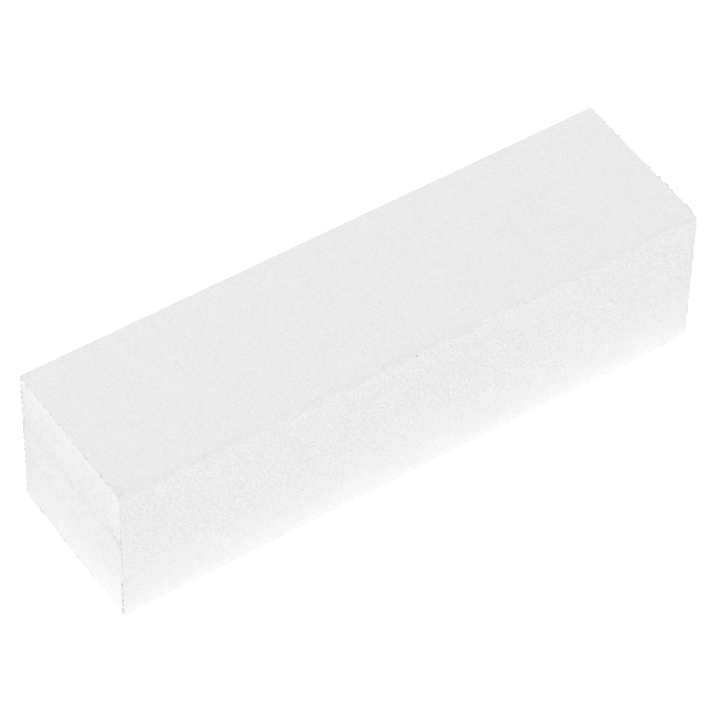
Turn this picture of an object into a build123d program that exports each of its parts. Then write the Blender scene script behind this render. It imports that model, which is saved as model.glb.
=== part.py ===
from build123d import *
import os

# Four-sided nail buffer block: a bar of three glued foam slabs, wrapped in two folded sheets of
# coated abrasive. Millimetres. X runs along the block, the front long face looks toward -Y,
# +Z is up, and the origin is the middle of the underside.

# Whole block
BLOCK_LENGTH = 95.0
BLOCK_WIDTH = 25.8
BLOCK_HEIGHT = 24.9

# Abrasive sheet, from its outer face inwards
GRIT_THICKNESS = 0.16
BACKING_THICKNESS = 0.16
GLUE_THICKNESS = 0.08
SHEET_THICKNESS = GRIT_THICKNESS + BACKING_THICKNESS + GLUE_THICKNESS

# Outer radius where a sheet folds round a long edge of the block
FOLD_RADIUS = 1.3

# Foam core: what the sheets leave, cut into three slabs by two glue lines
CORE_WIDTH = BLOCK_WIDTH - 2 * SHEET_THICKNESS
CORE_HEIGHT = BLOCK_HEIGHT - 2 * SHEET_THICKNESS
CORE_FOLD_RADIUS = FOLD_RADIUS - SHEET_THICKNESS
BOND_THICKNESS = 0.10
UPPER_SLAB_HEIGHT = 9.4
MIDDLE_SLAB_HEIGHT = 7.0
LOWER_SLAB_HEIGHT = CORE_HEIGHT - UPPER_SLAB_HEIGHT - MIDDLE_SLAB_HEIGHT - 2 * BOND_THICKNESS

# The glue lines were rolled on by hand and stop a little short of the slab's long edges
BOND_EDGE_GAP = 0.8


def folded_layer(depth, thickness, edge_inset):
    """One L-shaped layer over the top and front faces, folded round the top-front edge.

    depth is how far its outer side lies under the block's outer side, and edge_inset is how far
    its two long cut edges stop short of the block's corners.
    """
    inner_depth = depth + thickness
    front = -BLOCK_WIDTH / 2
    back_edge = BLOCK_WIDTH / 2 - edge_inset
    fold_y = front + FOLD_RADIUS
    fold_z = BLOCK_HEIGHT - FOLD_RADIUS
    outer_radius = FOLD_RADIUS - depth
    inner_radius = FOLD_RADIUS - inner_depth
    with BuildPart() as layer:
        with BuildSketch(Plane.YZ.offset(-BLOCK_LENGTH / 2)):
            with BuildLine():
                Line((back_edge, BLOCK_HEIGHT - depth), (fold_y, BLOCK_HEIGHT - depth))
                CenterArc((fold_y, fold_z), outer_radius, 90, 90)
                Line((front + depth, fold_z), (front + depth, edge_inset))
                Line((front + depth, edge_inset), (front + inner_depth, edge_inset))
                Line((front + inner_depth, edge_inset), (front + inner_depth, fold_z))
                CenterArc((fold_y, fold_z), inner_radius, 180, -90)
                Line((fold_y, BLOCK_HEIGHT - inner_depth), (back_edge, BLOCK_HEIGHT - inner_depth))
                Line((back_edge, BLOCK_HEIGHT - inner_depth), (back_edge, BLOCK_HEIGHT - depth))
            make_face()
        extrude(amount=BLOCK_LENGTH)
    return layer.part


def turned_over(shape):
    """The shape turned half a turn about the block's long middle axis."""
    middle_axis = Axis((0, 0, BLOCK_HEIGHT / 2), (1, 0, 0))
    return shape.rotate(middle_axis, 180)


def core_bar():
    """The whole foam bar, rounded under the two folds."""
    with BuildPart() as core:
        with Locations((0, 0, SHEET_THICKNESS)):
            Box(
                BLOCK_LENGTH,
                CORE_WIDTH,
                CORE_HEIGHT,
                align=(Align.CENTER, Align.CENTER, Align.MIN),
            )
        long_edges = core.edges().filter_by(Axis.X)
        front_to_back = long_edges.group_by(Axis.Y)
        top_front = front_to_back[0].sort_by(Axis.Z)[-1]
        bottom_back = front_to_back[-1].sort_by(Axis.Z)[0]
        fillet([top_front, bottom_back], CORE_FOLD_RADIUS)
    return core.part


def bar_section(bottom_z, height, width):
    """A plain bar as long as the block, standing on bottom_z."""
    bar = Box(BLOCK_LENGTH, width, height, align=(Align.CENTER, Align.CENTER, Align.MIN))
    return Pos(0, 0, bottom_z) * bar


def core_slab(bottom_z, height):
    """One foam slab: the stretch of the core bar from bottom_z up."""
    return core_bar() & bar_section(bottom_z, height, CORE_WIDTH)


def core_bond(bottom_z):
    """One glue line between two slabs."""
    return bar_section(bottom_z, BOND_THICKNESS, CORE_WIDTH - 2 * BOND_EDGE_GAP)


# Heights of the slabs and glue lines, from the underside up
lower_slab_z = SHEET_THICKNESS
lower_bond_z = lower_slab_z + LOWER_SLAB_HEIGHT
middle_slab_z = lower_bond_z + BOND_THICKNESS
upper_bond_z = middle_slab_z + MIDDLE_SLAB_HEIGHT
upper_slab_z = upper_bond_z + BOND_THICKNESS

nodes = {
    "core_slab_lower": core_slab(lower_slab_z, LOWER_SLAB_HEIGHT),
    "core_slab_middle": core_slab(middle_slab_z, MIDDLE_SLAB_HEIGHT),
    "core_slab_upper": core_slab(upper_slab_z, UPPER_SLAB_HEIGHT),
    "core_bond_lower": core_bond(lower_bond_z),
    "core_bond_upper": core_bond(upper_bond_z),
}

# Layers of a sheet: name, depth under the block's outer side, thickness
sheet_layers = [
    ("grit_coat", 0.0, GRIT_THICKNESS),
    ("backing", GRIT_THICKNESS, BACKING_THICKNESS),
    ("glue_film", GRIT_THICKNESS + BACKING_THICKNESS, GLUE_THICKNESS),
]

# The bottom-back sheet went on first, so its cut edges butt against the inside of the top-front
# sheet, which runs right out to the block's two sharp long edges.
for layer_name, depth, thickness in sheet_layers:
    nodes[layer_name + "_top_front"] = folded_layer(depth, thickness, 0.0)
    nodes[layer_name + "_bottom_back"] = turned_over(folded_layer(depth, thickness, SHEET_THICKNESS))

os.makedirs("parts", exist_ok=True)
for name, shape in nodes.items():
    export_step(shape, f"parts/{name}.step")
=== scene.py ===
import math

import bmesh
import bpy
import numpy as np
from mathutils import Matrix, Vector


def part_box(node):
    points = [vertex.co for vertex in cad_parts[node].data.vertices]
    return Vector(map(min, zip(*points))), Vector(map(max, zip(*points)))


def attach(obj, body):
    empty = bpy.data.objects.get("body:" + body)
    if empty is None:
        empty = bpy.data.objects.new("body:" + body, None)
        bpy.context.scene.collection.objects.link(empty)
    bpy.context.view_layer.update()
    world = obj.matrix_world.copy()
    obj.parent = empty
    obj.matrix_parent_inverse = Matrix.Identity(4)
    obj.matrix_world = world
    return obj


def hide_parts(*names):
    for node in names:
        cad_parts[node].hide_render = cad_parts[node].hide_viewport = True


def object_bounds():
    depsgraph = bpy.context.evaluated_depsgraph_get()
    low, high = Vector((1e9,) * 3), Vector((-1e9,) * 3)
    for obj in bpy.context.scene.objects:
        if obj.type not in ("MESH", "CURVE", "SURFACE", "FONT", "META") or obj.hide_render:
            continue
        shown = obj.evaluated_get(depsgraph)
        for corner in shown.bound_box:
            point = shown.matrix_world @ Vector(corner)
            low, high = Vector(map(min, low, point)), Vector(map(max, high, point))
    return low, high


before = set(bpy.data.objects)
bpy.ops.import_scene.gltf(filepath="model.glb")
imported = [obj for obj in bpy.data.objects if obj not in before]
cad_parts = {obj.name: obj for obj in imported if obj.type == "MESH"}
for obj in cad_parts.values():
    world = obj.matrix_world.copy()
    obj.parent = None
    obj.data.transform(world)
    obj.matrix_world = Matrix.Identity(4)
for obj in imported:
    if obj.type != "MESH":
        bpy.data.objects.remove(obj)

CAD_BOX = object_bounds()
MM = 0.001

# ---------- sizes, from the frame

BLOCK_LOW, BLOCK_HIGH = (Vector(corner) for corner in CAD_BOX)
LENGTH = BLOCK_HIGH.x - BLOCK_LOW.x
WIDTH = BLOCK_HIGH.y - BLOCK_LOW.y
HEIGHT = BLOCK_HIGH.z - BLOCK_LOW.z
TOP_OF = {name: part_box(name)[1][2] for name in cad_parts}
BACKING_DEPTH = TOP_OF["grit_coat_top_front"] - TOP_OF["backing_top_front"]
GLUE_DEPTH = TOP_OF["grit_coat_top_front"] - TOP_OF["glue_film_top_front"]
SHEET_THICKNESS = TOP_OF["grit_coat_top_front"] - TOP_OF["core_slab_upper"]
FOLD_RADIUS = 1.3 * MM
CORE_FOLD_RADIUS = FOLD_RADIUS - SHEET_THICKNESS
UPPER_SEAM_Z = TOP_OF["core_slab_middle"]
LOWER_SEAM_Z = TOP_OF["core_slab_lower"]

# ---------- sizes of the detail

# The grit coats. A place down the front is a fraction, 0 at the fold and 1 at the foot.
GRIT_CELL = 0.245 * MM          # pitch of the modelled grain
GRAIN_WANDER = 0.33             # how far grains stand out of their rows, in cells
SHEET_RAGGED = 0.09 * MM        # how far a sheet's cut ends wander,
RAGGED_PITCH = 3                # in waves this many cells across
GRIT_RELIEF = 0.085 * MM        # deepest hollow between grains on the finer side
GRIT_SHADE_AND_TONE = 0.08                # how much darker the deepest hollows are painted there: painted shade, with some random tone
COARSE_RELIEF = 1.4             # relief, and tone partly painted as shade of light grazing the front, of the coarser coat past the fold,
COARSE_SHADE_AND_TONE = 2.3               # as multiples of the finer side's
COARSENING = (math.radians(38), math.radians(36))   # where round the fold it starts, over how far
FADING = (0.40, 0.50)           # and where down the front it starts to turn fine again
CLUMP_PITCH = 2.2               # width of a clump of grains, in cells
WAVE_PITCH = 18                 # and of a slow wave in the coat
GRAIN_SHARE = 0.72              # how much of the relief is single grains,
COARSE_GRAIN_SHARE = 0.18       # how much more of it on the coarser side,
WAVE_SHARE = 0.10               # and how much is waves; clumps are the rest
GRAIN_SHADE_SHARE = 0.6          # how much of the tone is painted shade that follows the grains' heights
FOOT_WASHOUT = 0.8            # painted light: how much of its tone contrast the coat is painted to lose near the foot, washed out by the table's glow
WASHOUT_START = (0.75, 0.2)         # where down the front that starts, over how far
FOLD_SHADE = 0.041               # painted shade along the fold: how much greyer the coat is painted there
FOLD_SHADE_ANGLE = math.radians(34)
FOLD_SHADE_SPREAD = math.radians(16)
SHADE_PITCH = 11                 # the painted shade comes and goes along the fold, in cells,
SHADE_LEAST = 0.45               # between this much of it
SHADE_SWING = 0.75               # and this much more
CORNER_DARKENING = 0.9               # more of the fold's painted shade at its left end, as a multiple of it
CORNER_REACH = 1.0 * MM
PATCH_TONE = 0.038              # a darker patch on the top at that end of the fold
PATCH_REACH = 1.5 * MM
UNDER_FOLD_LIGHT = 0.019         # painted light: the coat is painted a little paler just past the fold
UNDER_FOLD = (math.radians(45), math.radians(30))
UNDER_FOLD_REACH = 0.13         # down the front
PAPER_CELL = 0.3 * MM           # pitch across the backing, and across the glue film
FILM_CELL = 0.4 * MM

# The foam's raw-cut ends. A place down an end is a fraction of the block's height.
FOAM_CELL = 0.23 * MM           # pitch of the modelled foam surface across an end
FOAM_CELL_HEIGHT = 0.17 * MM    # and up it: the cells are pressed a little flat
FOAM_RECESS = 0.03 * MM         # how far in from the block's end the foam's highest cells lie
FOAM_RELIEF = 0.05 * MM
FOAM_SHADE_AND_TONE = 0.09
FOAM_CONTRAST = 1.35            # contrast of the foam's tone at the top, as a multiple,
FOAM_CONTRAST_WASHOUT = 0.9        # and how much of it is painted away down to the foot, washed out by the table's light
FOAM_WASHOUT = (0.50, 0.35)      # where down an end the cells' own contrast is painted to fade, washed out by light, over how far
HOLLOW_PITCH = 2.3              # widths of hollows and of slow waves in the foam, in cells
FOAM_WAVE_PITCH = 26
FOAM_RELIEF_SHARES = (0.8, 0.2, 0.6)    # of cells, hollows and waves in the relief
FOAM_SHADE_AND_TONE_SHARES = (0.6, 0.1, 0.3)      # of cells and hollows, painted darker as shade where they lie deeper, and of plain speckle, in the tone
SEAM_VALLEY = 0.09 * MM         # dip of the foam's cut end along the upper glue line
SEAM_SPREAD = 1.3 * MM
SEAM_TONE = 0.025
SEAM_LEAN = 0.9 * MM            # the valley lies this much higher at the back than at the front,
SEAM_LEVEL = 0.6                # and on the glue line at this fraction across from the back
SEAM_LIP = 0.048 * MM           # how far cut foam bulges over a glue line
LOW_SEAM_TONE = 0.014           # the lower glue line only shows as a faint wide band
LOW_SEAM_SPREAD = 2.4 * MM
TOP_RIM_TONE = 0.062            # how much paler the foam is just under the top sheet
TOP_RIM_SPREAD = 5.0 * MM
FRONT_RIM_TONE = 0.025          # and just behind the front sheet
FRONT_RIM_SPREAD = 1.2 * MM
GLUE_CELL = 0.3 * MM            # pitch of a glue line's uneven ends,
GLUE_WANDER = 0.02 * MM         # how uneven they are,
GLUE_RECESS = 0.04 * MM         # and how far in they lie, besides the valley

# Hollows where the foam has lost a crumb. Most follow a slanting line where the upper glue line,
# not quite closed, comes out at the front. Places are fractions across from the back and down
# from the top, and radii are in mm.
CRUMB_DEPTH = 0.14 * MM
# painted shade: how much darker a crumb's hollow is painted
CRUMB_SHADE = 0.25
SEAM_CRUMBS = 17
SEAM_CRUMB_SPAN = (0.85, 0.97)
SEAM_CRUMB_PLACE = (0.86, 0.36)     # a place (across, down) on their line
SEAM_CRUMB_SLOPE = 0.6
SEAM_CRUMB_SCATTER = 0.035
SEAM_CRUMB_RADII = (0.13, 0.24)
SEAM_CRUMB_STRENGTHS = (0.25, 0.8)
STRAY_CRUMBS = 10
STRAY_CRUMB_ACROSS = (0.05, 0.97)
STRAY_CRUMB_DOWN = (0.2, 0.95)
STRAY_CRUMB_RADII = (0.09, 0.14)
STRAY_CRUMB_STRENGTH = 0.7


# ---------- noise and meshes

def rise(value, start, run):
    """0 up to start, 1 from start + run on, and a smooth rise between."""
    part = np.clip((value - start) / run, 0, 1)
    return part * part * (3 - 2 * part)


def hump(value, middle, spread):
    """1 at the middle, and a smooth fall to 0 on both sides."""
    return np.exp(-((value - middle) / spread) ** 2)


def coarse_noise(rng, rows, columns, pitch):
    """Smooth random numbers from 0 to 1 on a grid, with bumps about pitch cells across."""
    coarse_rows = int(rows / pitch) + 4
    coarse_columns = int(columns / pitch) + 4
    coarse = rng.random((coarse_rows, coarse_columns))
    row = np.arange(rows) / pitch + 1
    column = np.arange(columns) / pitch + 1
    row_cell = row.astype(int)
    column_cell = column.astype(int)
    row_part = row - row_cell
    column_part = column - column_cell
    row_part = rise(row_part, 0, 1)[:, None]
    column_part = rise(column_part, 0, 1)[None, :]
    low = coarse[row_cell][:, column_cell] * (1 - column_part)
    low += coarse[row_cell][:, column_cell + 1] * column_part
    high = coarse[row_cell + 1][:, column_cell] * (1 - column_part)
    high += coarse[row_cell + 1][:, column_cell + 1] * column_part
    return low * (1 - row_part) + high * row_part


def evened(noise):
    """Noise about 0.5 without its slow swings: grains pack without wide hollows or crowds."""
    steps = (-1, 0, 1)
    around = sum(np.roll(noise, (i, j), (0, 1)) for i in steps for j in steps) / 9
    return 0.5 + noise - around


def line_noise(rng, count, pitch):
    """Smooth random numbers from -1 to 1 along a line."""
    return 2 * coarse_noise(rng, 1, count, pitch)[0] - 1


def add_piece(name, points, faces, materials, smooth_angle=None, face_materials=None,
              tones=None):
    """Makes one mesh piece of the block, riding on its one body.

    Edges up to smooth_angle, in degrees, are shaded smooth. tones is a grey for each point, 1 for
    the material's own colour and less for a darker one.
    """
    mesh = bpy.data.meshes.new(name)
    mesh.from_pydata(np.asarray(points).tolist(), [], faces)
    for material in materials:
        mesh.materials.append(material)
    if face_materials is not None:
        mesh.polygons.foreach_set("material_index", face_materials)
    if smooth_angle is not None:
        mesh.polygons.foreach_set("use_smooth", [True] * len(mesh.polygons))
        mesh.set_sharp_from_angle(angle=math.radians(smooth_angle))
    tone = mesh.color_attributes.new(name="tone", type="FLOAT_COLOR", domain="POINT")
    greys = np.ones((len(points), 4), dtype=np.float32)
    if tones is not None:
        greys[:, :3] = np.asarray(tones, dtype=np.float32)[:, None]
    tone.data.foreach_set("color", greys.ravel())
    mesh.update()
    piece = bpy.data.objects.new(name, mesh)
    bpy.context.scene.collection.objects.link(piece)
    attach(piece, "root")
    return piece


def store_coarseness(piece, values):
    """Stores how coarse a piece's surface is, 0 to 1 for each point, for its material."""
    layer = piece.data.attributes.new(name="coarse", type="FLOAT", domain="POINT")
    layer.data.foreach_set("value", values.astype(np.float32))


def grid_faces(rows, columns):
    """Numbers of a grid's points, and its four-sided faces."""
    index = np.arange(rows * columns).reshape(rows, columns)
    faces = np.stack([
        index[:-1, :-1], index[1:, :-1], index[1:, 1:], index[:-1, 1:],
    ], axis=-1)
    return index, faces.reshape(-1, 4)


def turned_over(points):
    """Points turned half a turn about the block's long middle axis."""
    turned = points.copy()
    turned[:, 1] = BLOCK_LOW.y + BLOCK_HIGH.y - points[:, 1]
    turned[:, 2] = BLOCK_LOW.z + BLOCK_HIGH.z - points[:, 2]
    return turned


# ---------- the two folded sheets

def fold_line(edge_inset):
    """Lengths of a sheet's developed width: its top, its fold and its front."""
    top_run = WIDTH - edge_inset - FOLD_RADIUS
    arc_run = FOLD_RADIUS * math.pi / 2
    front_run = HEIGHT - edge_inset - FOLD_RADIUS
    return top_run, arc_run, front_run


def fold_angle(distance, edge_inset):
    """How far the sheet has turned from the top towards the front at a developed distance."""
    top_run = fold_line(edge_inset)[0]
    return np.clip((distance - top_run) / FOLD_RADIUS, 0, math.pi / 2)


def on_fold(distance, edge_inset):
    """Place (y, z) and outward normal (y, z) of the sheet's outer side at a developed distance."""
    top_run, arc_run, _ = fold_line(edge_inset)
    top_y = BLOCK_HIGH.y - edge_inset
    angle = fold_angle(distance, edge_inset)
    on_top = np.minimum(distance, top_run)
    down_front = np.maximum(distance - top_run - arc_run, 0)
    y = top_y - on_top - FOLD_RADIUS * np.sin(angle)
    z = BLOCK_HIGH.z - FOLD_RADIUS + FOLD_RADIUS * np.cos(angle) - down_front
    return y, z, -np.sin(angle), np.cos(angle)


def sheet_layer(name, seed, depth, thickness, edge_inset, across_cell, along_cell,
                relief, turn, materials):
    """One closed L-shaped layer of a sheet, with grain on its outer side and ragged cut ends.

    relief gives the outer side's height, 0 or less, its tone and its coarseness at each vertex.
    """
    rng = np.random.default_rng(seed)
    total = sum(fold_line(edge_inset))
    across_count = int(round(total / across_cell)) + 1
    along_count = int(round(LENGTH / along_cell)) + 1
    across = np.linspace(0, total, across_count)
    along = np.linspace(BLOCK_LOW.x, BLOCK_HIGH.x, along_count)
    across_grid, along_grid = np.meshgrid(across, along)
    height, tone, coarse = relief(rng, along, across, edge_inset)

    # grains don't stand in rows, so the inner vertices wander within their cell
    shift = rng.uniform(-GRAIN_WANDER, GRAIN_WANDER, (2, along_count, across_count))
    shift[:, 0, :] = 0
    shift[:, -1, :] = 0
    shift[:, :, 0] = 0
    shift[:, :, -1] = 0
    across_grid = across_grid + shift[0] * (across[1] - across[0])
    along_grid = along_grid + shift[1] * (along[1] - along[0])
    # the cut ends wander slowly, with a finer jitter on top
    ends = np.stack([line_noise(rng, across_count, RAGGED_PITCH) for _ in range(2)])
    ends += 0.7 * rng.uniform(-1, 1, ends.shape)
    along_grid[0] += SHEET_RAGGED * (0.5 + 0.3 * ends[0])
    along_grid[-1] -= SHEET_RAGGED * (0.5 + 0.3 * ends[1])

    y, z, normal_y, normal_z = on_fold(across_grid, edge_inset)
    outer = np.stack([
        along_grid,
        y + normal_y * (height - depth),
        z + normal_z * (height - depth),
    ], axis=-1).reshape(-1, 3)

    # inner ring: the four cut edges, one thickness further in
    rows, columns = np.arange(along_count), np.arange(across_count)
    ring = [(0, j) for j in columns]
    ring += [(i, across_count - 1) for i in rows[1:]]
    ring += [(along_count - 1, j) for j in columns[-2::-1]]
    ring += [(i, 0) for i in rows[-2:0:-1]]
    ring_row = np.array([i for i, _ in ring])
    ring_column = np.array([j for _, j in ring])
    y, z, normal_y, normal_z = on_fold(across[ring_column], edge_inset)
    inner_depth = depth + thickness
    inner = np.stack([
        along_grid[ring_row, ring_column],
        y - normal_y * inner_depth,
        z - normal_z * inner_depth,
    ], axis=-1)
    points = np.concatenate([outer, inner])
    tones = np.concatenate([tone.ravel(), np.ones(len(ring))])
    coarseness = np.concatenate([coarse.ravel(), np.zeros(len(ring))])
    if turn:
        points = turned_over(points)

    index, faces = grid_faces(along_count, across_count)
    faces = faces.tolist()
    outer_faces = len(faces)
    inner_of = {key: along_count * across_count + k for k, key in enumerate(ring)}
    for k, key in enumerate(ring):
        following = ring[(k + 1) % len(ring)]
        faces.append([index[key], index[following], inner_of[following], inner_of[key]])
    skirt_faces = len(faces) - outer_faces

    # inner side: one long strip for each step across, shut by the two long cut edges
    last_row, last_column = along_count - 1, across_count - 1
    for j in range(1, last_column - 1):
        faces.append([
            inner_of[(0, j)], inner_of[(0, j + 1)],
            inner_of[(last_row, j + 1)], inner_of[(last_row, j)],
        ])
    faces.append([
        inner_of[(0, 1)], inner_of[(last_row, 1)], *(inner_of[(i, 0)] for i in rows[::-1]),
    ])
    faces.append([
        inner_of[(last_row, last_column - 1)], inner_of[(0, last_column - 1)],
        *(inner_of[(i, last_column)] for i in rows),
    ])
    face_materials = [0] * outer_faces + [1] * skirt_faces
    face_materials += [0] * (len(faces) - len(face_materials))
    faces = [[int(v) for v in face] for face in faces]
    piece = add_piece(name, points, faces, materials, 55, face_materials, tones)
    store_coarseness(piece, coarseness)
    return piece


def grain_relief(rng, along, across, edge_inset):
    """Heights, tones and coarseness of packed grains: nearly one to a vertex, with painted shade
    darkening the hollows.
    """
    shape = (len(along), len(across))
    angle = fold_angle(across, edge_inset)
    top_run, arc_run, front_run = fold_line(edge_inset)
    down = np.clip((across - top_run - arc_run) / front_run, 0, 1)
    coarse = rise(angle, *COARSENING) * (1 - rise(down, *FADING))
    coarse = np.repeat(coarse[None, :], len(along), axis=0)

    grains = evened(rng.random(shape))
    clumps = coarse_noise(rng, *shape, CLUMP_PITCH)
    waves = coarse_noise(rng, *shape, WAVE_PITCH)
    grain_share = GRAIN_SHARE + COARSE_GRAIN_SHARE * coarse
    height = grain_share * grains + (1 - WAVE_SHARE - grain_share) * clumps + WAVE_SHARE * waves
    height = -GRIT_RELIEF * (1 + (COARSE_RELIEF - 1) * coarse) * (1 - height)
    # painted shade: the tone follows the grains' heights so hollows are darker, mixed with random
    # tone
    tone = GRAIN_SHADE_SHARE * grains + (1 - GRAIN_SHADE_SHARE) * evened(rng.random(shape))
    # painted light: the contrast is painted fainter near the foot, washed out by the table's glow
    washed_out = 1 - FOOT_WASHOUT * rise(down, *WASHOUT_START)
    contrast = GRIT_SHADE_AND_TONE * (1 + (COARSE_SHADE_AND_TONE - 1) * coarse) * washed_out
    tone = 1 - contrast * (0.5 - tone)

    # painted shade along the fold, strongest at its left end, and a darker patch on the top beside
    # it
    bent = hump(angle, FOLD_SHADE_ANGLE, FOLD_SHADE_SPREAD) * (angle > 0)
    from_end = along - along[0]
    at_corner = CORNER_DARKENING * hump(from_end, 0, CORNER_REACH)
    fold_shade = SHADE_SWING * coarse_noise(rng, *shape, SHADE_PITCH)
    fold_shade = SHADE_LEAST + fold_shade * rng.uniform(0.5, 1.5, shape)
    tone -= FOLD_SHADE * bent[None, :] * (fold_shade + at_corner[:, None])
    near_fold = hump(across, top_run, PATCH_REACH) * (across < top_run + arc_run / 2)
    patch = hump(from_end, 0, PATCH_REACH)[:, None] * near_fold[None, :]
    tone -= PATCH_TONE * patch * rng.uniform(0.6, 1.4, shape)

    # painted light: paler just past the fold, where the fold turns to face the low front
    tone += UNDER_FOLD_LIGHT * rise(angle, *UNDER_FOLD) * np.exp(-down / UNDER_FOLD_REACH)
    return height, tone, coarse


def smooth_relief(rng, along, across, edge_inset):
    """A flat outer side, for the layers that another layer covers."""
    flat = np.zeros((len(along), len(across)))
    return flat, flat + 1, flat


# ---------- materials

# Sizes of the textures. Each pair of greys is for the dark and the pale side of a noise.
GRAIN_SIZE = 0.15 * MM
GRAIN_STRETCH = 1.6             # the coat's grain runs a little along the block
CRYSTAL_SIZE = 0.21 * MM
FINE_GRIT_GREYS = (0.790, 0.902)
# the coarse side's wider greys are partly painted shade, for light grazing the front's grain
COARSE_GRIT_SHADED_GREYS = (0.769, 0.921)
PORE_SIZE = 0.195 * MM
CELL_SIZE = 0.28 * MM
CELL_STRETCH = 2.4              # length to width of the cells that the knife drew out
CELL_SLANT = math.radians(-45)
# the foam's fainter greys towards the foot are painted light washing it out; the others hold
# higher up
WASHED_OUT_FOAM_GREYS = (0.867, 0.925)
UPPER_FOAM_GREYS = (0.832, 0.960)


def new_material(name):
    """A material, its node tree and shader, and the place on the object in metres."""
    material = bpy.data.materials.new(name)
    material.use_nodes = True
    tree = material.node_tree
    shader = tree.nodes["Principled BSDF"]
    place = tree.nodes.new("ShaderNodeTexCoord").outputs["Object"]
    return material, tree, shader, place


def noise_node(tree, place, size, detail=2.0, roughness=0.5):
    """A noise texture whose features are about size metres across."""
    noise = tree.nodes.new("ShaderNodeTexNoise")
    noise.inputs["Scale"].default_value = 1 / size
    noise.inputs["Detail"].default_value = detail
    noise.inputs["Roughness"].default_value = roughness
    tree.links.new(place, noise.inputs["Vector"])
    return noise


def cell_node(tree, place, size):
    """A texture of rounded cells about size metres across."""
    cells = tree.nodes.new("ShaderNodeTexVoronoi")
    cells.inputs["Scale"].default_value = 1 / size
    tree.links.new(place, cells.inputs["Vector"])
    return cells


def drawn_out(tree, place, stretch, turn_about_x=0.0):
    """Texture place in which features are stretched, along axes turned about the block's own."""
    mapping = tree.nodes.new("ShaderNodeMapping")
    mapping.vector_type = "TEXTURE"
    mapping.inputs["Rotation"].default_value = (turn_about_x, 0, 0)
    mapping.inputs["Scale"].default_value = stretch
    tree.links.new(place, mapping.inputs["Vector"])
    return mapping.outputs["Vector"]


def ramp_node(tree, value, stops):
    """A colour ramp: stops are (position, grey or colour)."""
    ramp = tree.nodes.new("ShaderNodeValToRGB")
    while len(ramp.color_ramp.elements) < len(stops):
        ramp.color_ramp.elements.new(0.5)
    for element, (position, colour) in zip(ramp.color_ramp.elements, stops):
        element.position = position
        element.color = (*colour, 1) if hasattr(colour, "__len__") else (colour,) * 3 + (1,)
    tree.links.new(value, ramp.inputs["Fac"])
    return ramp


def noise_ramp(tree, noise, low, high):
    """A ramp from one grey or colour to another over most of a noise's values."""
    return ramp_node(tree, noise.outputs["Fac"], [(0.30, low), (0.70, high)])


def mixed(tree, kind, factor, a, b):
    """Two colours mixed by a factor, a number or a socket, and the mixed colour's socket."""
    mix = tree.nodes.new("ShaderNodeMix")
    mix.data_type = "RGBA"
    mix.blend_type = kind
    sockets = {socket.identifier: socket for socket in mix.inputs}
    if isinstance(factor, float):
        sockets["Factor_Float"].default_value = factor
    else:
        tree.links.new(factor, sockets["Factor_Float"])
    tree.links.new(a, sockets["A_Color"])
    tree.links.new(b, sockets["B_Color"])
    return next(socket for socket in mix.outputs if socket.identifier == "Result_Color")


def multiplied(tree, a, b):
    """Two colours multiplied."""
    return mixed(tree, "MULTIPLY", 1.0, a, b)


def point_tone(tree):
    """The grey that add_piece stored on the mesh's points."""
    attribute = tree.nodes.new("ShaderNodeAttribute")
    attribute.attribute_type = "GEOMETRY"
    attribute.attribute_name = "tone"
    return attribute.outputs["Color"]


def by_coarseness(tree, fine, coarse):
    """Mixes two ramps by the coarseness that store_coarseness put on the mesh's points."""
    attribute = tree.nodes.new("ShaderNodeAttribute")
    attribute.attribute_name = "coarse"
    return mixed(tree, "MIX", attribute.outputs["Fac"], fine.outputs[0], coarse.outputs[0])


def bump_node(tree, height, distance, strength, below=None):
    """A bumped normal, on top of another one where there is one below."""
    bump = tree.nodes.new("ShaderNodeBump")
    bump.inputs["Distance"].default_value = distance
    bump.inputs["Strength"].default_value = strength
    tree.links.new(height, bump.inputs["Height"])
    if below is not None:
        tree.links.new(below, bump.inputs["Normal"])
    return bump.outputs["Normal"]


def grit_material():
    """White mineral grain in resin under a dry white lubricating coat."""
    material, tree, shader, place = new_material("white_grit")
    along_web = drawn_out(tree, place, (GRAIN_STRETCH, 1, 1))
    grain = noise_node(tree, along_web, GRAIN_SIZE)
    patch = noise_node(tree, place, 3.5 * MM, 3.0, 0.55)
    fine_tone = noise_ramp(tree, grain, *FINE_GRIT_GREYS)
    coarse_tone = noise_ramp(tree, grain, *COARSE_GRIT_SHADED_GREYS)
    patch_tone = noise_ramp(tree, patch, 0.992, 1.0)
    grain_tone = by_coarseness(tree, fine_tone, coarse_tone)
    tone = multiplied(tree, grain_tone, patch_tone.outputs[0])
    tone = multiplied(tree, tone, point_tone(tree))
    tree.links.new(tone, shader.inputs["Base Color"])
    gloss = ramp_node(tree, grain.outputs["Fac"], [(0.35, 0.95), (0.72, 0.66)])
    tree.links.new(gloss.outputs[0], shader.inputs["Roughness"])
    shader.inputs["Specular IOR Level"].default_value = 0.3
    crystals = cell_node(tree, place, CRYSTAL_SIZE)
    normal = bump_node(tree, crystals.outputs["Distance"], 0.06 * MM, 0.6)
    normal = bump_node(tree, grain.outputs["Fac"], 0.06 * MM, 0.7, normal)
    tree.links.new(normal, shader.inputs["Normal"])
    return material


def cut_edge_material():
    """Cut side of the grit coat: white resin with a few broken grains in it."""
    material, tree, shader, place = new_material("cut_grit_edge")
    broken = noise_node(tree, place, 0.40 * MM)
    tone = ramp_node(tree, broken.outputs["Fac"], [(0.36, 0.50), (0.48, 0.74), (0.7, 0.86)])
    tree.links.new(tone.outputs[0], shader.inputs["Base Color"])
    shader.inputs["Roughness"].default_value = 0.85
    shader.inputs["Specular IOR Level"].default_value = 0.3
    normal = bump_node(tree, broken.outputs["Fac"], 0.08 * MM, 0.5)
    tree.links.new(normal, shader.inputs["Normal"])
    return material


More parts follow.
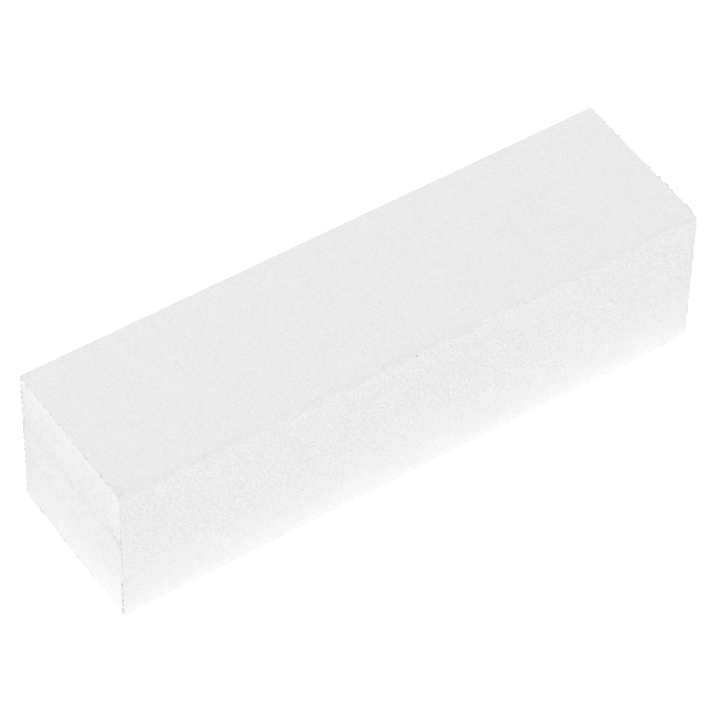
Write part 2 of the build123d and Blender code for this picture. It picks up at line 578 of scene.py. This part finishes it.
def broken_grain_material():
    """Grey of a bare mineral grain, where the white coat has chipped off."""
    material, tree, shader, place = new_material("bare_grain")
    grain = noise_node(tree, place, 0.12 * MM)
    tone = noise_ramp(tree, grain, 0.78, 1.0)
    tone = multiplied(tree, tone.outputs[0], point_tone(tree))
    tree.links.new(tone, shader.inputs["Base Color"])
    shader.inputs["Roughness"].default_value = 0.6
    normal = bump_node(tree, grain.outputs["Fac"], 0.03 * MM, 0.5)
    tree.links.new(normal, shader.inputs["Normal"])
    return material


def foam_material():
    """Raw-cut white closed-cell foam: fine burst cells, drawn out slantwise by the knife."""
    material, tree, shader, place = new_material("white_foam")
    slanted = drawn_out(tree, place, (1, CELL_STRETCH, 1), CELL_SLANT)
    pores = noise_node(tree, slanted, PORE_SIZE)
    cells = cell_node(tree, slanted, CELL_SIZE)
    cloud = noise_node(tree, place, 1.8 * MM, 4.0, 0.6)
    fine_tone = noise_ramp(tree, pores, *WASHED_OUT_FOAM_GREYS)
    coarse_tone = noise_ramp(tree, pores, *UPPER_FOAM_GREYS)
    pore_tone = by_coarseness(tree, fine_tone, coarse_tone)
    cell_tone = ramp_node(tree, cells.outputs["Distance"], [(0.15, 1.0), (0.75, 0.95)])
    cloud_tone = noise_ramp(tree, cloud, 0.985, 1.0)
    tone = multiplied(tree, cell_tone.outputs[0], pore_tone)
    tone = multiplied(tree, tone, cloud_tone.outputs[0])
    tone = multiplied(tree, tone, point_tone(tree))
    tree.links.new(tone, shader.inputs["Base Color"])
    shader.inputs["Roughness"].default_value = 0.9
    shader.inputs["Specular IOR Level"].default_value = 0.25
    normal = bump_node(tree, cells.outputs["Distance"], 0.04 * MM, 0.5)
    normal = bump_node(tree, pores.outputs["Fac"], 0.05 * MM, 0.5, normal)
    tree.links.new(normal, shader.inputs["Normal"])
    return material


def backing_material():
    """Pale paper backing, fibrous where it was cut."""
    material, tree, shader, place = new_material("pale_backing_paper")
    fibre = noise_node(tree, place, 0.30 * MM, 4.0, 0.65)
    tone = ramp_node(tree, fibre.outputs["Fac"], [
        (0.32, (0.80, 0.80, 0.795)), (0.55, (0.92, 0.92, 0.915)),
    ])
    tree.links.new(tone.outputs[0], shader.inputs["Base Color"])
    shader.inputs["Roughness"].default_value = 0.9
    shader.inputs["Specular IOR Level"].default_value = 0.2
    normal = bump_node(tree, fibre.outputs["Fac"], 0.05 * MM, 0.4)
    tree.links.new(normal, shader.inputs["Normal"])
    return material


def glue_material():
    """Milky dried glue."""
    material, tree, shader, place = new_material("milky_glue")
    cloud = noise_node(tree, place, 0.8 * MM, 3.0)
    tone = noise_ramp(tree, cloud, (0.82, 0.82, 0.815), (0.90, 0.90, 0.895))
    tree.links.new(tone.outputs[0], shader.inputs["Base Color"])
    gloss = noise_ramp(tree, cloud, 0.55, 0.75)
    tree.links.new(gloss.outputs[0], shader.inputs["Roughness"])
    return material


# ---------- the foam core

def slab_grid(low, high, front_round, back_round, rows, columns):
    """Places (y, z) of a slab's end face, on a grid, with its folded corner rounded off."""
    z = np.linspace(low.z, high.z, rows)
    y_low = np.full(rows, low.y)
    y_high = np.full(rows, high.y)
    if front_round:
        above = np.clip(z - (high.z - CORE_FOLD_RADIUS), 0, CORE_FOLD_RADIUS)
        y_low += CORE_FOLD_RADIUS - np.sqrt(CORE_FOLD_RADIUS ** 2 - above ** 2)
    if back_round:
        below = np.clip((low.z + CORE_FOLD_RADIUS) - z, 0, CORE_FOLD_RADIUS)
        y_high -= CORE_FOLD_RADIUS - np.sqrt(CORE_FOLD_RADIUS ** 2 - below ** 2)
    part = np.linspace(0, 1, columns)
    y = y_low[:, None] + (y_high - y_low)[:, None] * part[None, :]
    return y, np.repeat(z[:, None], columns, axis=1)


def end_spot(across, down):
    """Place (y, z) on an end face, from fractions across from the back and down from the top."""
    return BLOCK_HIGH.y - across * WIDTH, BLOCK_HIGH.z - down * HEIGHT


def lost_crumbs(seed):
    """Places (y, z), radii and strengths of hollows where an end's foam has lost a crumb."""
    rng = np.random.default_rng(seed)
    line_across, line_down = SEAM_CRUMB_PLACE
    crumbs = []
    for _ in range(SEAM_CRUMBS):
        across = rng.uniform(*SEAM_CRUMB_SPAN)
        down = line_down + SEAM_CRUMB_SLOPE * (across - line_across)
        down += rng.uniform(-SEAM_CRUMB_SCATTER, SEAM_CRUMB_SCATTER)
        spot = end_spot(across, down)
        radius = rng.uniform(*SEAM_CRUMB_RADII) * MM
        crumbs.append((*spot, radius, rng.uniform(*SEAM_CRUMB_STRENGTHS)))
    for _ in range(STRAY_CRUMBS):
        spot = end_spot(rng.uniform(*STRAY_CRUMB_ACROSS), rng.uniform(*STRAY_CRUMB_DOWN))
        crumbs.append((*spot, rng.uniform(*STRAY_CRUMB_RADII) * MM, STRAY_CRUMB_STRENGTH))
    return crumbs


def foam_end(rng, y, z, crumbs):
    """How far the cut foam lies in from the block's end, and its tone."""
    rows, columns = y.shape
    cells = rng.random((rows, columns))
    hollows = coarse_noise(rng, rows, columns, HOLLOW_PITCH)
    waves = coarse_noise(rng, rows, columns, FOAM_WAVE_PITCH)
    by_cells, by_hollows, by_waves = FOAM_RELIEF_SHARES
    recess = by_cells * cells + by_hollows * hollows + by_waves * waves
    recess = FOAM_RECESS + FOAM_RELIEF * recess
    down = (BLOCK_HIGH.z - z) / HEIGHT
    # painted shade: the cells and hollows that lie deeper are darker, and plain speckle adds
    # random tone
    by_cells, by_hollows, plain = FOAM_SHADE_AND_TONE_SHARES
    speckle = by_cells * cells + by_hollows * hollows + plain * rng.random((rows, columns))
    # painted light: the foam's contrast is painted fainter towards the foot, washed out by light
    contrast = FOAM_CONTRAST - FOAM_CONTRAST_WASHOUT * down ** 2
    tone = 1 - FOAM_SHADE_AND_TONE * (0.5 + contrast * (speckle - 0.5))

    # the upper seam leans a little, and the foam along it is dished and greyed by the glue
    across = (BLOCK_HIGH.y - y) / WIDTH
    lean = SEAM_LEAN * (SEAM_LEVEL - across)
    band = hump(z - UPPER_SEAM_Z, lean, SEAM_SPREAD)
    low_band = hump(z, LOWER_SEAM_Z, LOW_SEAM_SPREAD)
    recess += SEAM_VALLEY * band
    tone -= SEAM_TONE * band + LOW_SEAM_TONE * low_band
    tone += TOP_RIM_TONE * np.exp(-(BLOCK_HIGH.z - z) / TOP_RIM_SPREAD)
    tone += FRONT_RIM_TONE * np.exp(-(y - BLOCK_LOW.y) / FRONT_RIM_SPREAD)

    hollow = np.zeros_like(y)
    for crumb_y, crumb_z, radius, strength in crumbs:
        away = ((y - crumb_y) ** 2 + (z - crumb_z) ** 2) / radius ** 2
        hollow = np.maximum(hollow, strength * np.exp(-away))
    recess += CRUMB_DEPTH * hollow
    # painted shade in the crumbs' hollows
    tone -= CRUMB_SHADE * hollow
    return recess, tone


def foam_slab(name, seed, material, end_crumbs, front_round=False, back_round=False):
    """A foam slab, closed, with its raw-cut ends modelled cell by cell."""
    rng = np.random.default_rng(seed)
    low, high = (Vector(corner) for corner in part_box(name))
    rows = int(round((high.z - low.z) / FOAM_CELL_HEIGHT)) + 1
    columns = int(round((high.y - low.y) / FOAM_CELL)) + 1
    y, z = slab_grid(low, high, front_round, back_round, rows, columns)
    if not front_round:
        z[-1] += SEAM_LIP * np.sqrt(rng.random(columns))
    if not back_round:
        z[0] -= SEAM_LIP * np.sqrt(rng.random(columns))
    ends = []
    tones = []
    for side in (0, 1):
        recess, tone = foam_end(rng, y, z, end_crumbs[side])
        x = low.x + recess if side == 0 else high.x - recess
        ends.append(np.stack([x, y, z], axis=-1).reshape(-1, 3))
        tones.append(tone.ravel())
    points = np.concatenate(ends)
    index, near = grid_faces(rows, columns)
    far = near[:, ::-1] + rows * columns
    ring = np.array([*index[0, :], *index[1:, -1], *index[-1, -2::-1], *index[-2:0:-1, 0]])
    following = np.roll(ring, -1)
    sides = np.stack([ring, following, following + rows * columns, ring + rows * columns], axis=-1)
    faces = np.concatenate([near, far, sides]).tolist()
    piece = add_piece("foam_" + name, points, faces, [material], 50,
                      tones=np.concatenate(tones))
    down = (BLOCK_HIGH.z - points[:, 2]) / HEIGHT
    # for the foam this coarseness is only its painted washout: full contrast high up, fainter
    # towards the foot
    store_coarseness(piece, 1 - rise(down, *FOAM_WASHOUT))
    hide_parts(name)
    return piece


def glue_line(name, seed, material, end_recess):
    """The dried glue between two slabs, with uneven ends."""
    rng = np.random.default_rng(seed)
    low, high = (Vector(corner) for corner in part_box(name))
    columns = int(round((high.y - low.y) / GLUE_CELL)) + 1
    y = np.linspace(low.y, high.y, columns)
    outline = []
    for side in (0, 1):
        wander = GLUE_WANDER * (1 + line_noise(rng, columns, RAGGED_PITCH))
        wander += GLUE_WANDER * rng.random(columns)
        recess = end_recess + wander
        outline.append(low.x + recess if side == 0 else high.x - recess)
    corners = []
    for z in (low.z, high.z):
        corners += [(x, along, z) for x, along in zip(outline[0], y)]
        corners += [(x, along, z) for x, along in zip(outline[1][::-1], y[::-1])]
    count = 2 * columns
    faces = [[k, (k + 1) % count, count + (k + 1) % count, count + k] for k in range(count)]
    for k in range(columns - 1):
        j = count - 1 - k
        faces.append([k, j, j - 1, k + 1])
        faces.append([count + k, count + k + 1, count + j - 1, count + j])
    piece = add_piece("glue_line_" + name, corners, faces, [material], 40)
    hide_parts(name)
    return piece


# ---------- loose and bare grains

def crystal_form():
    """Corners and faces of a plain crystal of radius 1."""
    form = bmesh.new()
    bmesh.ops.create_icosphere(form, subdivisions=1, radius=1.0)
    points = np.array([corner.co for corner in form.verts])
    faces = np.array([[corner.index for corner in face.verts] for face in form.faces])
    form.free()
    return points, faces


def grain_cluster(name, seed, grains, material):
    """Many small broken crystals in one piece: grains are (centre, three radii, tone)."""
    rng = np.random.default_rng(seed)
    form, form_faces = crystal_form()
    points, faces, tones = [], [], []
    for centre, radii, tone in grains:
        crystal = form * rng.uniform(*CRYSTAL_CORNERS, (len(form), 1)) * np.array(radii)
        faces.append(form_faces + len(form) * len(points))
        points.append(crystal + np.array(centre))
        tones.append(np.full(len(form), tone))
    return add_piece(name, np.concatenate(points), np.concatenate(faces).tolist(),
                     [material], tones=np.concatenate(tones))


# Larger bare grains where the left end's edges have chipped: fraction along the edge, radius in
# mm. Along the top from the back, down the front, and along the foot from the back.
TOP_EDGE_CHIPS = (
    (0.04, 0.13), (0.08, 0.17), (0.33, 0.16), (0.42, 0.15),
    (0.58, 0.14), (0.71, 0.18), (0.86, 0.17), (0.91, 0.14),
)
FRONT_EDGE_CHIPS = (
    (0.40, 0.17), (0.33, 0.15), (0.73, 0.24), (0.81, 0.14),
    (0.88, 0.25), (0.91, 0.20), (0.96, 0.26),
)
FOOT_EDGE_CHIPS = ((0.11, 0.14), (0.32, 0.14), (0.37, 0.18), (0.58, 0.17), (0.63, 0.14))

# Finer grains are sprinkled between the chips, and crowd on a stretch of each edge
LARGEST_FINE_GRAIN = 0.12 * MM
FINE_GRAIN_PITCH = 0.8 * MM     # mean spacing along the top and down the front,
FOOT_GRAIN_PITCH = 1.4 * MM     # and along the foot
CROWD_SIZE = 1.35               # size and spacing where they crowd, as multiples
CROWD_SPACING = 0.5
EDGE_GRAIN_DEPTH = 0.30         # how deep a bare grain sits in its edge, in radii
PROUD_GRAIN_DEPTH = -0.50       # the right end's stand proud, and roughen its outline
SHORTEST_GRAIN = 0.8            # half the length of a bare grain, in radii
LONGEST_GRAIN = 2.4
TOOTH_PITCH = 1.2 * MM          # spacing of the grains down the back edge, their radii in mm,
TOOTH_RADII = (0.13, 0.19)
FAR_TOOTH_SIZE = 0.6            # and their size at the right end, as a multiple
BACK_GRAIN_RADII = (0.04, 0.08)     # grains along the top-back edge: radii and spacing in mm
BACK_GRAIN_GAPS = (0.6, 3.0)
CRYSTAL_CORNERS = (0.65, 1.1)   # how far out a crystal's corners lie, in its radii

# How far in from its edge's face a grain's middle lies, in radii
TOP_INSET = 0.8
FRONT_INSET = 0.8
FOOT_INSET = 1.15
BACK_INSET = 0.5

# Specks in the coat: fractions along the block and away from the back or top, radius in mm
TOP_SPECKS = ((0.51, 0.59, 0.126), (0.68, 0.30, 0.107), (0.42, 0.09, 0.108), (0.20, 0.37, 0.088))
FRONT_SPECKS = (
    (0.59, 0.48, 0.138), (0.32, 0.44, 0.094), (0.91, 0.09, 0.104),
    (0.85, 0.36, 0.112), (0.21, 0.47, 0.115), (0.64, 0.45, 0.094),
    (0.43, 0.57, 0.110), (0.66, 0.63, 0.101), (0.84, 0.12, 0.100),
)
FOLD_SPECK = (0.50, 62, 0.150)  # fraction along, degrees round the fold, radius in mm
SPECK_DEPTH = 0.25              # how deep a speck's middle lies, in radii

# A small grain's grey, and how much darker a larger grain or speck is for each mm of its radius
GRAIN_GREY = 0.93
EDGE_GRAIN_DARKENING = 1.2
SPECK_DARKENING = 2.2


def speck(x, y, z, radius):
    """A dark speck: the larger ones look darker."""
    return (x, y, z), (radius, radius, radius), GRAIN_GREY - SPECK_DARKENING * radius / MM


def edge_grain(rng, centre, direction, radius):
    """A bare grain, drawn out along its edge, which runs along axis number direction."""
    radii = [radius, radius, radius]
    radii[direction] *= rng.uniform(SHORTEST_GRAIN, LONGEST_GRAIN)
    return centre, tuple(radii), GRAIN_GREY - EDGE_GRAIN_DARKENING * radius / MM


def end_edge_grains(rng, x, outward, depth, edge):
    """Grains on one edge of an end: its own chips, and finer grains sprinkled between them.

    outward is -1 at the left end and 1 at the right one, and depth is how deep the grains sit, in
    radii. An edge is its chips, the stretch where finer grains crowd, a function that gives (y, z)
    for a fraction along it, its direction, its length, and the finer grains' mean spacing.
    """
    chips, (crowd_start, crowd_end), place, direction, run, pitch = edge
    spots = [(part, radius * MM) for part, radius in chips]
    at = rng.exponential(pitch)
    while at < run:
        crowded = crowd_start < at / run < crowd_end
        radius = LARGEST_FINE_GRAIN * rng.uniform(0.5, 1.0) * (CROWD_SIZE if crowded else 1)
        spots.append((at / run, radius))
        at += rng.exponential(pitch) * (CROWD_SPACING if crowded else 1)
    grains = []
    for part, radius in spots:
        centre = (x - outward * depth * radius, *place(part, radius))
        grains.append(edge_grain(rng, centre, direction, radius))
    return grains


def on_top_edge(part, radius):
    """Place (y, z) of a grain on an end's top edge, from the back."""
    return BLOCK_HIGH.y - part * (WIDTH - FOLD_RADIUS), BLOCK_HIGH.z - TOP_INSET * radius


def on_front_edge(part, radius):
    """Down the front edge from the fold, and never through the floor."""
    drop = FOLD_RADIUS + part * (HEIGHT - FOLD_RADIUS - radius)
    lowest = BLOCK_LOW.z + LONGEST_GRAIN * radius
    return BLOCK_LOW.y + FRONT_INSET * radius, max(BLOCK_HIGH.z - drop, lowest)


def on_foot_edge(part, radius):
    """Along the foot, from the fold at the back."""
    y = BLOCK_HIGH.y - FOLD_RADIUS - part * (WIDTH - FOLD_RADIUS)
    return y, BLOCK_LOW.z + FOOT_INSET * radius


def on_back_edge(part, radius):
    """Down the back edge and half way round the fold at its foot."""
    straight = HEIGHT - FOLD_RADIUS
    drop = radius + part * (straight + 0.6 * FOLD_RADIUS)
    bend = max(drop - straight, 0) / FOLD_RADIUS
    y = BLOCK_HIGH.y - BACK_INSET * radius - FOLD_RADIUS * (1 - math.cos(bend))
    return y, BLOCK_HIGH.z - min(drop, straight) - FOLD_RADIUS * math.sin(bend)


def end_grains(seed, x, outward, depth, chipped):
    """Bare grains round the edges of one end, with the larger chips if it is chipped."""
    rng = np.random.default_rng(seed)
    top_chips, front_chips, foot_chips = (
        (TOP_EDGE_CHIPS, FRONT_EDGE_CHIPS, FOOT_EDGE_CHIPS) if chipped else ((), (), ())
    )
    edges = (
        (top_chips, (0.60, 0.97), on_top_edge, 1, WIDTH, FINE_GRAIN_PITCH),
        (front_chips, (0.62, 1.0), on_front_edge, 2, HEIGHT, FINE_GRAIN_PITCH),
        (foot_chips, (0.35, 0.70), on_foot_edge, 1, WIDTH, FOOT_GRAIN_PITCH),
    )
    grains = []
    for edge in edges:
        grains += end_edge_grains(rng, x, outward, depth, edge)

    # the back edge was torn by the cutter's teeth, so its grains stand at an even pitch
    teeth = int(HEIGHT / TOOTH_PITCH)
    for tooth in range(teeth):
        part = (tooth + rng.uniform(0.3, 0.7)) / teeth
        radius = rng.uniform(*TOOTH_RADII) * (1 if chipped else FAR_TOOTH_SIZE) * MM
        centre = (x - outward * EDGE_GRAIN_DEPTH * radius, *on_back_edge(part, radius))
        grains.append(edge_grain(rng, centre, 2, radius))
    return grains


def back_edge_grains(seed):
    """Fine grains along the block's long sharp top-back edge."""
    rng = np.random.default_rng(seed)
    grains = []
    x = BLOCK_LOW.x + 0.5 * MM
    while x < BLOCK_HIGH.x:
        radius = rng.uniform(*BACK_GRAIN_RADII) * MM
        centre = (x, BLOCK_HIGH.y - 0.6 * radius, BLOCK_HIGH.z - 1.2 * radius)
        grains.append(edge_grain(rng, centre, 0, radius))
        x += rng.uniform(*BACK_GRAIN_GAPS) * MM
    return grains


def speck_grains():
    """Dark specks in the top and front coats, and one on the fold."""
    grains = []
    for along, away, size in TOP_SPECKS:
        radius = size * MM
        x = BLOCK_LOW.x + along * LENGTH
        y = BLOCK_HIGH.y - away * WIDTH
        grains.append(speck(x, y, BLOCK_HIGH.z - SPECK_DEPTH * radius, radius))
    for along, down, size in FRONT_SPECKS:
        radius = size * MM
        x = BLOCK_LOW.x + along * LENGTH
        z = BLOCK_HIGH.z - down * HEIGHT
        grains.append(speck(x, BLOCK_LOW.y + SPECK_DEPTH * radius, z, radius))
    along, degrees, size = FOLD_SPECK
    radius = size * MM
    angle = math.radians(degrees)
    reach = FOLD_RADIUS - SPECK_DEPTH * radius
    y = BLOCK_LOW.y + FOLD_RADIUS - reach * math.sin(angle)
    z = BLOCK_HIGH.z - FOLD_RADIUS + reach * math.cos(angle)
    grains.append(speck(BLOCK_LOW.x + along * LENGTH, y, z, radius))
    return grains


# ---------- building the block

def build_sheets(grit, cut_edge, backing, glue):
    """Both folded sheets, each of a grit coat, a paper backing and a glue film."""
    for suffix, seed, inset, turn in (
        ("top_front", 11, 0.0, False),
        ("bottom_back", 47, SHEET_THICKNESS, True),
    ):
        coat = sheet_layer(
            "grit_" + suffix, seed, 0.0, BACKING_DEPTH, inset, GRIT_CELL, GRIT_CELL,
            grain_relief, turn, [grit, cut_edge],
        )
        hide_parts("grit_coat_" + suffix)
        paper = sheet_layer(
            "paper_" + suffix, seed + 1, BACKING_DEPTH, GLUE_DEPTH - BACKING_DEPTH, inset,
            PAPER_CELL, LENGTH / 2, smooth_relief, turn, [backing, backing],
        )
        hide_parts("backing_" + suffix)
        film = sheet_layer(
            "film_" + suffix, seed + 2, GLUE_DEPTH, SHEET_THICKNESS - GLUE_DEPTH, inset,
            FILM_CELL, LENGTH / 2, smooth_relief, turn, [glue, glue],
        )
        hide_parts("glue_film_" + suffix)


def build_core(foam, glue):
    """The three foam slabs and the glue lines between them."""
    end_crumbs = lost_crumbs(2294), lost_crumbs(32)
    foam_slab("core_slab_upper", 5, foam, end_crumbs, front_round=True)
    foam_slab("core_slab_middle", 6, foam, end_crumbs)
    foam_slab("core_slab_lower", 7, foam, end_crumbs, back_round=True)
    glue_line("core_bond_upper", 8, glue, GLUE_RECESS + SEAM_VALLEY)
    glue_line("core_bond_lower", 9, glue, GLUE_RECESS)


def build_grains(bare_grain):
    """The bare grains on the edges, and the specks in the coat."""
    left = end_grains(23, BLOCK_LOW.x, -1, EDGE_GRAIN_DEPTH, True)
    right = end_grains(27, BLOCK_HIGH.x, 1, PROUD_GRAIN_DEPTH, False)
    grain_cluster("bare_grains_left_end", 21, left, bare_grain)
    grain_cluster("bare_grains_right_end", 22, right, bare_grain)
    grain_cluster("bare_grains_back_edge", 25, back_edge_grains(26), bare_grain)
    grain_cluster("specks_in_coat", 24, speck_grains(), bare_grain)


# ---------- floor, light, camera

FLOOR_REACH = 4.0
FLOOR_DROP = 0.01 * MM          # the floor lies just under the lowest grains
FLOOR_TONE = 0.90
FLOOR_GLOW = 0.20               # even light through the white table
RING_GLOW = 0.07                # extra light through it close round the block
RING_WIDTH = 9 * MM
FRONT_GLOW = 0.285              # and more of it in front of the long front face
FAR_GLOW = 0.55                 # the table's far parts shine like the tent's walls,
FAR_START = 0.5                 # more and more between these distances
FAR_FULL = 1.3

# the tent's radiance by the sine of the height above the horizon: walls, shoulders and roof
TENT_STOPS = ((0.06, 1.0), (0.22, 0.43), (0.72, 0.43), (0.95, 0.1))

# name, place in metres, edge in metres, radiance
SOFTBOXES = (
    ("softbox_above", (-0.05, -0.15, 1.15), 0.3, 10.4),
    ("softbox_above_back", (-0.10, 0.40, 1.05), 0.5, 4.5),
    ("softbox_left", (-1.1, -0.25, 0.45), 0.4, 4.8),
    ("softbox_right", (1.1, -0.20, 0.35), 0.4, 6.3),
    ("softbox_front_low", (0.1, -1.15, 0.18), 0.5, 2.45),
    ("softbox_back_low", (-0.3, 1.1, 0.30), 0.4, 4.6),
)


def math_node(tree, operation, *values):
    """A maths node of numbers and sockets, and its result."""
    node = tree.nodes.new("ShaderNodeMath")
    node.operation = operation
    for socket, value in zip(node.inputs, values):
        if isinstance(value, (int, float)):
            socket.default_value = value
        else:
            tree.links.new(value, socket)
    return node.outputs[0]


def floor_material():
    """White acrylic table, lit from below: a little, more round the block, and most far away."""
    material, tree, shader, place = new_material("white_floor")
    shader.inputs["Base Color"].default_value = (FLOOR_TONE, FLOOR_TONE, FLOOR_TONE, 1)
    shader.inputs["Roughness"].default_value = 1.0
    shader.inputs["Specular IOR Level"].default_value = 0.0
    shader.inputs["Emission Color"].default_value = (1, 1, 1, 1)
    axes = tree.nodes.new("ShaderNodeSeparateXYZ")
    tree.links.new(place, axes.inputs[0])
    squares = []
    for axis, half in (("X", LENGTH / 2), ("Y", WIDTH / 2)):
        away = math_node(tree, "ABSOLUTE", axes.outputs[axis])
        away = math_node(tree, "SUBTRACT", away, half)
        away = math_node(tree, "MAXIMUM", away, 0.0)
        squares.append(math_node(tree, "MULTIPLY", away, away))
    square = math_node(tree, "ADD", *squares)
    falloff = math_node(tree, "MULTIPLY", square, -1 / RING_WIDTH ** 2)
    falloff = math_node(tree, "EXPONENT", falloff)
    in_front = math_node(tree, "MULTIPLY_ADD", axes.outputs["Y"], -1 / WIDTH, 0.5)
    in_front = math_node(tree, "MINIMUM", in_front, 1.0)
    in_front = math_node(tree, "MAXIMUM", in_front, 0.0)
    in_front = math_node(tree, "MULTIPLY", in_front, FRONT_GLOW)
    ring = math_node(tree, "ADD", in_front, RING_GLOW)
    glow = math_node(tree, "MULTIPLY", ring, falloff)
    glow = math_node(tree, "ADD", glow, FLOOR_GLOW)
    reach = tree.nodes.new("ShaderNodeVectorMath")
    reach.operation = "LENGTH"
    tree.links.new(place, reach.inputs[0])
    far = tree.nodes.new("ShaderNodeMapRange")
    far.interpolation_type = "SMOOTHSTEP"
    far.inputs["From Min"].default_value = FAR_START
    far.inputs["From Max"].default_value = FAR_FULL
    far.inputs["To Max"].default_value = FAR_GLOW
    tree.links.new(reach.outputs["Value"], far.inputs["Value"])
    glow = math_node(tree, "ADD", glow, far.outputs["Result"])
    tree.links.new(glow, shader.inputs["Emission Strength"])
    return material


def build_floor():
    """The table, just under the block."""
    mesh = bpy.data.meshes.new("studio_floor")
    reach = FLOOR_REACH
    z = BLOCK_LOW.z - FLOOR_DROP
    corners = [(-reach, -reach, z), (reach, -reach, z), (reach, reach, z), (-reach, reach, z)]
    mesh.from_pydata(corners, [], [(0, 1, 2, 3)])
    mesh.materials.append(floor_material())
    floor = bpy.data.objects.new("studio_floor", mesh)
    bpy.context.scene.collection.objects.link(floor)


def build_world():
    """A white light tent: its walls, its darker shoulders and its roof."""
    world = bpy.data.worlds.new("light_tent")
    bpy.context.scene.world = world
    world.use_nodes = True
    tree = world.node_tree
    place = tree.nodes.new("ShaderNodeTexCoord").outputs["Generated"]
    axes = tree.nodes.new("ShaderNodeSeparateXYZ")
    tree.links.new(place, axes.inputs[0])
    ramp = ramp_node(tree, axes.outputs["Z"], TENT_STOPS)
    tree.links.new(ramp.outputs[0], tree.nodes["Background"].inputs["Color"])
    tree.nodes["Background"].inputs["Strength"].default_value = 1.0


def build_softboxes():
    """Square softboxes round and above the block, all aimed at it."""
    for name, place, edge, radiance in SOFTBOXES:
        data = bpy.data.lights.new(name, "AREA")
        data.shape = "SQUARE"
        data.size = edge
        data.energy = radiance * math.pi * edge * edge
        box = bpy.data.objects.new(name, data)
        box.location = place
        aim = Vector((0, 0, HEIGHT / 2)) - box.location
        box.rotation_euler = aim.to_track_quat("-Z", "Y").to_euler()
        bpy.context.scene.collection.objects.link(box)


# the camera that was fitted to the photo: degrees, metres, and the lens in mm
CAMERA_AZIMUTH = -34.77
CAMERA_ELEVATION = 48.41
CAMERA_ROLL = 1.54
CAMERA_DISTANCE = 0.5889
CAMERA_LENS = 210.9
CAMERA_SENSOR = 36.0
CAMERA_TARGET = Vector((-0.97 * MM, -0.55 * MM, HEIGHT / 2))


def build_camera():
    """The scene's camera, with a slight roll."""
    data = bpy.data.cameras.new("camera")
    data.lens = CAMERA_LENS
    data.sensor_width = CAMERA_SENSOR
    camera = bpy.data.objects.new("camera", data)
    bpy.context.scene.collection.objects.link(camera)
    azimuth = math.radians(CAMERA_AZIMUTH)
    elevation = math.radians(CAMERA_ELEVATION)
    back = Vector((
        math.sin(azimuth) * math.cos(elevation),
        -math.cos(azimuth) * math.cos(elevation),
        math.sin(elevation),
    ))
    level = Vector((0, 0, 1)).cross(back).normalized()
    right = Matrix.Rotation(math.radians(CAMERA_ROLL), 3, back) @ level
    up = back.cross(right)
    turn = Matrix((right, up, back)).transposed().to_4x4()
    camera.matrix_world = Matrix.Translation(CAMERA_TARGET + back * CAMERA_DISTANCE) @ turn
    bpy.context.scene.camera = camera


bpy.context.scene.view_settings.view_transform = "Standard"
glue = glue_material()
build_sheets(grit_material(), cut_edge_material(), backing_material(), glue)
build_core(foam_material(), glue)
build_grains(broken_grain_material())
build_floor()
build_world()
build_softboxes()
build_camera()
